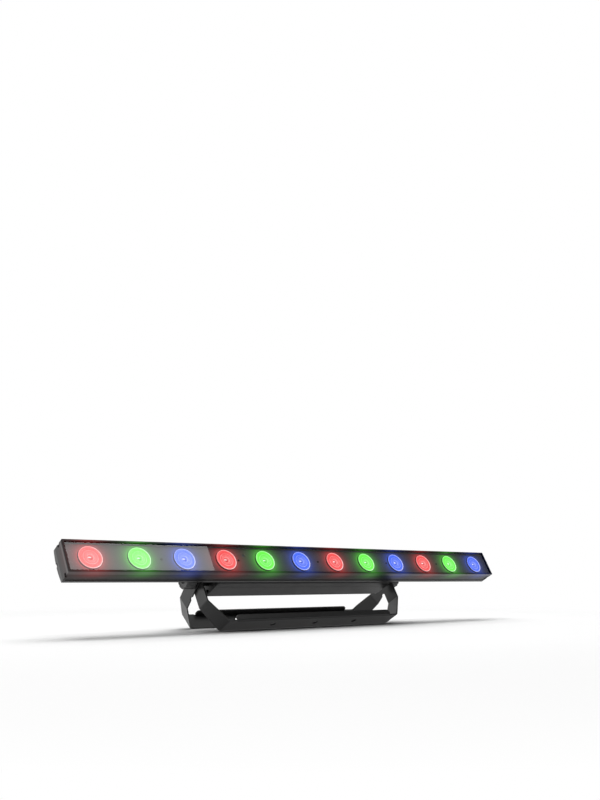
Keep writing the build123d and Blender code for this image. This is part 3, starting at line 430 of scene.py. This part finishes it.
def plastic(name, colour, rough, grain_scale, grain_depth):
    """Moulded plastic with a fine spark-eroded grain and softened edges."""
    s = material(name)
    cloud = s.noise(70.0)
    base = s.mix(s.span(cloud, 0.3, 0.7), shade(colour, 0.82), shade(colour, 1.15))
    normal = s.bump(s.noise(grain_scale, 2.0), grain_depth * MM, 0.5, s.rounded(0.3 * MM))
    return s.surface(Base_Color=base, Normal=normal,
                     Roughness=s.span(cloud, 0.3, 0.7, rough - 0.05, rough + 0.07))


def rubber(name, colour):
    """Dull, finely grained and cloudy."""
    s = material(name)
    base = s.mix(s.noise(120.0), shade(colour, 0.8), shade(colour, 1.3))
    normal = s.bump(s.noise(1800.0, 2.0), 0.03 * MM, 0.6, s.rounded(0.3 * MM))
    return s.surface(Base_Color=base, Roughness=0.72, Normal=normal, Specular_IOR_Level=0.35)


def metal(name, colour, rough, streak):
    """Plated or blackened metal: turned marks, cloudy plating and slight tarnish."""
    s = material(name)
    cloud = s.noise(240.0, 4.0, 0.6)
    base = s.mix(s.span(cloud, 0.3, 0.75), shade(colour, 0.72), colour)
    marks = s.node("TexWave", {"Scale": streak, "Distortion": 2.5, "Detail": 3.0,
                               "Detail Scale": 4.0, "Vector": s.place()}).outputs["Fac"]
    return s.surface(Base_Color=base, Metallic=1.0,
                     Roughness=s.span(cloud, 0.3, 0.75, rough - 0.06, rough + 0.12),
                     Normal=s.bump(marks, 0.012 * MM, 0.5, s.rounded(0.2 * MM)))


def circuit_board(name, mask, track):
    """Solder mask over a faint grid of tracks, with tinned pads."""
    s = material(name)
    lanes = s.node("TexBrick", {"Color1": grey(0.0), "Color2": grey(0.35), "Mortar": WHITE,
                                "Scale": 160.0, "Mortar Size": 0.06,
                                "Vector": s.head_place()}).outputs["Color"]
    cells = s.node("TexVoronoi", {"Scale": 190.0, "Vector": s.place()}).outputs["Distance"]
    pads = s.math("LESS_THAN", cells, 0.11)
    base = s.mix(pads, s.mix(s.times(lanes, 0.4), mask, track), (0.62, 0.62, 0.6))
    return s.surface(Base_Color=base, Roughness=0.36, Metallic=s.times(pads, 0.9),
                     Normal=s.bump(lanes, 0.02 * MM, 0.5))


def phosphor(name):
    """Yellow phosphor dome on a white package."""
    s = material(name)
    cloud = s.noise(900.0)
    base = s.mix(cloud, (0.82, 0.62, 0.12), (0.95, 0.86, 0.5))
    return s.surface(Base_Color=base, Roughness=0.3, Normal=s.bump(cloud, 0.02 * MM))


def components(name):
    """Moulded and wound parts of several dark colours, by where they stand."""
    s = material(name)
    cell = s.node("TexVoronoi", {"Scale": 45.0, "Vector": s.head_place()})
    pick = s.node("SeparateColor", {0: cell.outputs["Color"]}).outputs[0]
    base = s.steps(pick, [(0.0, (0.02, 0.02, 0.022)), (0.45, (0.03, 0.045, 0.10)),
                          (0.7, (0.16, 0.10, 0.03)), (0.9, (0.25, 0.25, 0.24))])
    cloud = s.noise(500.0)
    return s.surface(Base_Color=base, Roughness=s.span(cloud, 0.3, 0.7, 0.28, 0.5),
                     Normal=s.bump(cloud, 0.02 * MM, 0.5, s.rounded(0.3 * MM)))


def wire_jackets(name):
    """Red, black, blue and yellow-green insulation, by where each wire runs."""
    s = material(name)
    place = s.math("FRACT", s.times(s.head_parts()[0], 23.0))
    base = s.steps(place, [(0.0, (0.35, 0.02, 0.015)), (0.3, (0.02, 0.02, 0.02)),
                           (0.55, (0.02, 0.05, 0.3)), (0.8, (0.3, 0.35, 0.03))])
    return s.surface(Base_Color=base, Roughness=s.span(s.noise(300.0), 0.3, 0.7, 0.35, 0.55))


# slot name: how it is made, and with what
LOOKS = {
    "bar_paint": (powder_coat, 0.012, True),
    "bracket_paint": (powder_coat, 0.014),
    "black_plate": (black_plate,),
    "window_clear": (clear_sheet, (0.985, 0.99, 0.99), WHITE, 1.49, 9.0, 0.004, 0.02),
    "display_glass": (clear_sheet, (0.45, 0.5, 0.55), grey(0.8), 1.5, 35.0, 0.03, 0.12),
    "lens_red": (lit_lens, LENS_COLOURS["red"]),
    "lens_green": (lit_lens, LENS_COLOURS["green"]),
    "lens_blue": (lit_lens, LENS_COLOURS["blue"]),
    "holder_black": (plastic, (0.006, 0.006, 0.007), 0.5, 1500.0, 0.03),
    "knob_black": (plastic, (0.045, 0.045, 0.046), 0.4, 1300.0, 0.05),
    "socket_black": (plastic, (0.014, 0.014, 0.015), 0.4, 1600.0, 0.03),
    "washer_nylon": (plastic, (0.03, 0.03, 0.03), 0.35, 900.0, 0.02),
    "seal_rubber": (rubber, (0.012, 0.012, 0.012)),
    "button_grey": (rubber, (0.07, 0.07, 0.075)),
    "board_white": (circuit_board, (0.75, 0.75, 0.72), (0.6, 0.6, 0.58)),
    "board_green": (circuit_board, (0.02, 0.12, 0.045), (0.03, 0.2, 0.08)),
    "screw_black": (metal, (0.016, 0.016, 0.018), 0.42, 500.0),
    "steel_bright": (metal, (0.62, 0.62, 0.60), 0.26, 600.0),
    "pin_metal": (metal, (0.72, 0.58, 0.30), 0.22, 600.0),
    "emitter": (phosphor,),
    "component": (components,),
    "wire_jacket": (wire_jackets,),
}
MATERIALS = {slot: make(slot, *values) for slot, (make, *values) in LOOKS.items()}

for part in record["subparts"]:
    mesh = nodes[part["node"]].data
    mesh.materials.clear()
    mesh.materials.append(MATERIALS[part["material_slot"]])


# ------------------------------------------------------------------ mesh helpers
SHARP_ANGLE = radians(35)
ON_AXIS = 1e-9      # metres: a point this near the axis is one vertex, not a ring


def new_piece(name, body, slot, bm, replaced):
    """Turn a bmesh into a piece that rides on a body, takes a slot's material and stands in for
    a CAD node."""
    bmesh.ops.recalc_face_normals(bm, faces=bm.faces)
    mesh = bpy.data.meshes.new(name)
    bm.to_mesh(mesh)
    bm.free()
    for polygon in mesh.polygons:
        polygon.use_smooth = True
    mesh.set_sharp_from_angle(angle=SHARP_ANGLE)
    mesh.materials.append(MATERIALS[slot])
    piece = link(bpy.data.objects.new(name, mesh))
    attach(piece, body)
    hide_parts(replaced)


def revolve(bm, place, profile, segments, wave=None):
    """Spin a profile of (radius, along) points about the local z axis of a place.
    wave gives a radius for each (radius, angle)."""
    rings = []
    for radius, along in profile:
        if radius < ON_AXIS:
            rings.append([bm.verts.new(place @ Vector((0, 0, along)))])
            continue
        ring = []
        for k in range(segments):
            angle = 2 * pi * k / segments
            reach = wave(radius, angle) if wave else radius
            point = Vector((reach * cos(angle), reach * sin(angle), along))
            ring.append(bm.verts.new(place @ point))
        rings.append(ring)
    for first, second in zip(rings, rings[1:]):
        for k in range(segments):
            n = (k + 1) % segments
            if len(first) == 1:
                bm.faces.new((first[0], second[k], second[n]))
            elif len(second) == 1:
                bm.faces.new((first[k], second[0], first[n]))
            else:
                bm.faces.new((first[k], second[k], second[n], first[n]))


def arc(centre, radius, start, end, steps):
    """Points of an arc, with angles in degrees."""
    angles = [radians(start + (end - start) * k / steps) for k in range(steps + 1)]
    return [(centre[0] + radius * cos(a), centre[1] + radius * sin(a)) for a in angles]


# ------------------------------------------------------------------ lenses
LENS_SEGMENTS = 72


def crown(start, end, depth, rise, steps=6):
    """A shallow ring that bulges towards the beams between two radii."""
    points = []
    for k in range(steps + 1):
        share = k / steps
        points.append((start + (end - start) * share, depth - rise * sin(pi * share)))
    return points


def lens_profile():
    """Half section of one lens as (radius, depth), from the well on its axis round to the back.
    The numbers are in mm, the result in metres."""
    well = [(4.2 * k / 6, 7.4 + 1.6 * (k / 6) ** 2) for k in range(7)]
    front = [(4.55, 9.12), (4.9, 8.9), (5.05, 5.9), (5.3, 5.45)]
    front += crown(5.6, 8.9, 5.35, 0.28) + crown(9.1, 12.2, 5.3, 0.3)
    front += [(12.35, 5.6), (12.6, 5.6)]
    front += crown(12.8, 17.7, 5.3, 0.42, 8)
    front += [(17.95, 5.5), (18.2, 5.3)]
    rim = arc((18.95, 5.32), 0.7, 180, 360, 10)
    back = [(19.65, 8.6), (19.5, 8.8), (17.4, 8.8)]
    cone = [(17.4 - 10.8 * (k / 10) ** 1.25, 8.8 + 13.8 * (k / 10) ** 0.92) for k in range(1, 11)]
    inlet = [(4.2, 22.6), (3.8, 17.4), (2.0, 16.5), (0.0, 16.2)]
    return [(r * MM, d * MM) for r, d in well + front + rim + back + cone + inlet]


def build_lenses():
    profile = lens_profile()
    facing = Matrix.Rotation(radians(-90), 4, "X")      # local z to the head's back axis
    for number, colour in enumerate(LENS_COLOURS):
        bm = bmesh.new()
        for place in range(number, LENS_COUNT, COLOUR_COUNT):
            axis = Matrix.Translation(((place - FIRST_LENS) * LENS_PITCH, 0, 0)) @ facing
            revolve(bm, HEAD @ axis, profile, LENS_SEGMENTS)
        new_piece(f"lens_set_{colour}", "head", f"lens_{colour}", bm, f"lenses_{colour}")


# ------------------------------------------------------------------ knobs
FLUTES = 14
FLUTE_DEPTH = 1.3 * MM
FLUTE_REACH = 2.2 * MM      # how far in from the rim the flutes go
KNOB_SEGMENTS = 168         # 12 for each flute


def knob_profile(inner, outer, radius):
    """Half section of a knob as (radius, along), from its bore round the grip to the outer face."""
    bore = 4.0 * MM
    edge = 1.6 * MM
    face_drop = 0.9 * MM
    recess = 6.5 * MM
    points = [(bore, inner), (12.0 * MM, inner), (radius - edge, inner + 0.3 * MM)]
    points += arc((radius - edge, inner + 0.3 * MM + edge), edge, -90, 0, 5)[1:]
    points += [(radius, (inner + outer) / 2)]
    points += arc((radius - edge, outer - edge), edge, 0, 90, 5)
    points += [(radius - 3.2 * MM, outer), (radius - 3.8 * MM, outer - 0.25 * MM)]
    points += [(radius - 4.2 * MM, outer - face_drop), (recess + 1.0 * MM, outer - face_drop)]
    points += [(recess + 0.3 * MM, outer - 0.3 * MM), (recess, outer - 0.6 * MM)]
    points += [(recess - 0.2 * MM, outer - 5.0 * MM), (bore, outer - 5.0 * MM)]
    return points + [(bore, inner)]


def build_knobs():
    """A fluted grip at each end of the tilt axis."""
    low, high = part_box("knob_right")
    radius = (high.z - low.z) / 2

    def fluted(reach, angle):
        if reach < radius - FLUTE_REACH:
            return reach
        return reach - FLUTE_DEPTH * max(0.0, cos(FLUTES * angle)) ** 1.5

    for word, side in (("left", -1), ("right", 1)):
        bm = bmesh.new()
        outward = Matrix.Translation(PIVOT) @ Matrix.Rotation(radians(90 * side), 4, "Y")
        profile = knob_profile(low.x + 0.05 * MM, high.x, radius)
        revolve(bm, outward, profile, KNOB_SEGMENTS, fluted)
        new_piece(f"grip_{word}", f"knob_{word}", "knob_black", bm, f"knob_{word}")


build_lenses()
build_knobs()


# ------------------------------------------------------------------ stage
DARK_FRONT = 0.22           # radiance of the room behind the camera, in reflections
WHITE_BACK = 1.0            # radiance of the backdrop
FLOOR_SIZE = 60.0
FLOOR_DROP = 0.4 * MM
CONTACT_REACH = 0.16        # how far from the object the floor starts to darken
LAMP_PLACE = (0.0, 0.1, 2.2)
LAMP_SIZE = (2.6, 1.3)
LAMP_POWER = 40.0
CARD_CORNERS = [(-0.30, -1.063, 1.147), (0.818, -1.063, 1.147), (0.285, -0.263, 1.147),
                (-0.30, -0.263, 1.147)]
CARD_RADIANCE = 1.9
CAMERA_PLACE = (-1.0006, -1.2208, 0.0900)
CAMERA_TURN = -39.43        # degrees, to the right
SENSOR_WIDTH = 36.0
FOCAL_LENGTH = 36.72
SHIFT_UP = 0.2243           # of the frame


def floor():
    """A pale matt floor with a painted contact shadow near the object, as the camera sees it, that shades into
    plain white away from the object.
    """
    bpy.ops.mesh.primitive_plane_add(size=FLOOR_SIZE, location=(0, 0, -FLOOR_DROP))
    ground = bpy.context.object
    ground.name = "floor"
    s = material("floor")
    seen = s.node("LightPath").outputs["Is Camera Ray"]
    unseen = s.math("SUBTRACT", 1.0, seen)
    # painted shadow: the floor the camera sees is made darker near the object
    beside = s.node("AmbientOcclusion", {"Distance": CONTACT_REACH}, samples=8).outputs["AO"]
    painted_contact_shadow = s.even(s.span(beside, 0.3, 0.98, 0.22, 0.92))
    matt = s.node("BsdfDiffuse", {"Color": s.mix(seen, grey(0.6), painted_contact_shadow)})
    white = s.node("Emission", {"Color": WHITE, "Strength": s.span(seen, 0.0, 1.0, 1.3, 1.0)})
    away = s.node("VectorMath", {0: s.place()}, operation="LENGTH").outputs["Value"]
    far = s.math("ADD", s.times(seen, s.span(away, 0.6, 1.2)),
                 s.times(unseen, s.span(away, 0.4, 0.9)))
    far = s.math("MAXIMUM", far, s.times(unseen, 0.16))
    ground.data.materials.append(s.blend(far, matt, white))


def card(name, corners, radiance):
    """A bright card that shows only in reflections."""
    mesh = bpy.data.meshes.new(name)
    mesh.from_pydata(corners, [], [(0, 1, 2, 3)])
    s = material(name)
    mesh.materials.append(s.finish(s.node("Emission", {"Color": WHITE, "Strength": radiance})))
    panel = link(bpy.data.objects.new(name, mesh))
    panel.visible_camera = False
    panel.visible_diffuse = False
    panel.visible_shadow = False
    panel.visible_transmission = False


def softbox(name, place, size, power):
    """A lamp that points at the object and shows neither itself nor its reflection."""
    light = bpy.data.lights.new(name, "AREA")
    light.shape = "RECTANGLE"
    light.size, light.size_y = size
    light.energy = power
    lamp = link(bpy.data.objects.new(name, light))
    lamp.location = place
    lamp.rotation_euler = (-Vector(place)).to_track_quat("-Z", "Y").to_euler()
    lamp.visible_camera = False
    lamp.visible_glossy = False


def room():
    """White to the eye; in reflections and as light it is darker on the camera's side."""
    world = bpy.data.worlds.new("studio")
    s = Shader(world, "OutputWorld")
    toward = s.node("SeparateXYZ", {0: s.node("TexCoord").outputs["Generated"]}).outputs[1]
    wall = s.grey_ramp(s.span(toward, -0.1, 0.5), [(0.0, DARK_FRONT), (1.0, WHITE_BACK)])
    lit = s.node("Background", {"Color": wall, "Strength": 1.0})
    seen = s.node("Background", {"Color": WHITE, "Strength": 1.0})
    bpy.context.scene.world = s.blend(s.node("LightPath").outputs["Is Camera Ray"], lit, seen)


def camera():
    """The photograph's view: level, turned to the right, with the frame shifted up."""
    optics = bpy.data.cameras.new("camera")
    optics.sensor_width = SENSOR_WIDTH
    optics.lens = FOCAL_LENGTH
    optics.shift_y = SHIFT_UP
    optics.clip_start = 0.01
    view = link(bpy.data.objects.new("camera", optics))
    view.location = CAMERA_PLACE
    view.rotation_euler = (radians(90), 0, radians(CAMERA_TURN))
    bpy.context.scene.camera = view


floor()
room()
softbox("top_softbox", LAMP_PLACE, LAMP_SIZE, LAMP_POWER)
card("window_reflection", CARD_CORNERS, CARD_RADIANCE)
camera()
bpy.context.scene.view_settings.view_transform = "Standard"
bpy.context.scene.cycles.use_denoising = True
